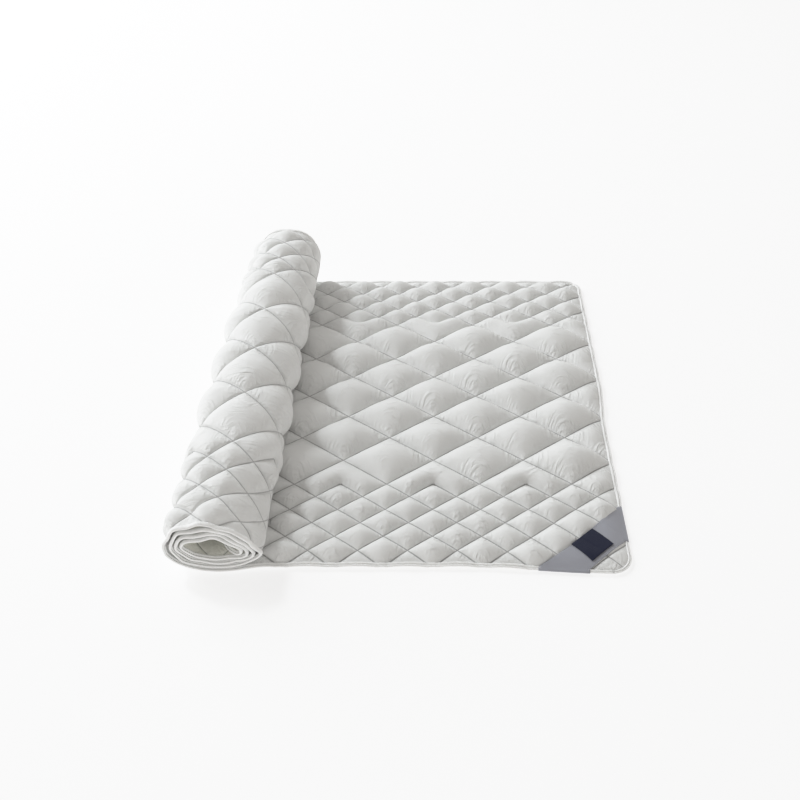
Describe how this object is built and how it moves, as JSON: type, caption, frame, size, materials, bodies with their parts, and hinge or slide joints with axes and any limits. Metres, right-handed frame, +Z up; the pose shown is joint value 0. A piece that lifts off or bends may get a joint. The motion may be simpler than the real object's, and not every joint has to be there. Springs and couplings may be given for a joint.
{
  "type": "quilted mattress topper, partly rolled up",
  "caption": "Quilted white mattress topper with diamond cells and a piped edge, flat at one end and rolled up at the other, with a grey band and dark label across a corner.",
  "frame": {"origin": "middle of the footprint, on the floor", "axes": "+X from the roll to the flat end, +Y from the near long edge with the label to the far one, +Z up"},
  "size_m": [0.7932, 0.9123, 0.1572],
  "materials": {
    "quilted_cover": "smooth cotton, soft sheen",
    "white_piping": "matt woven binding",
    "grey_satin": "satin",
    "dark_label": "woven label, matt"
  },
  "bodies": {
    "root": {"topper_body": "quilted_cover", "edge_piping": "white_piping", "corner_band": "grey_satin", "corner_label": "dark_label"}
  },
  "joints": []
}
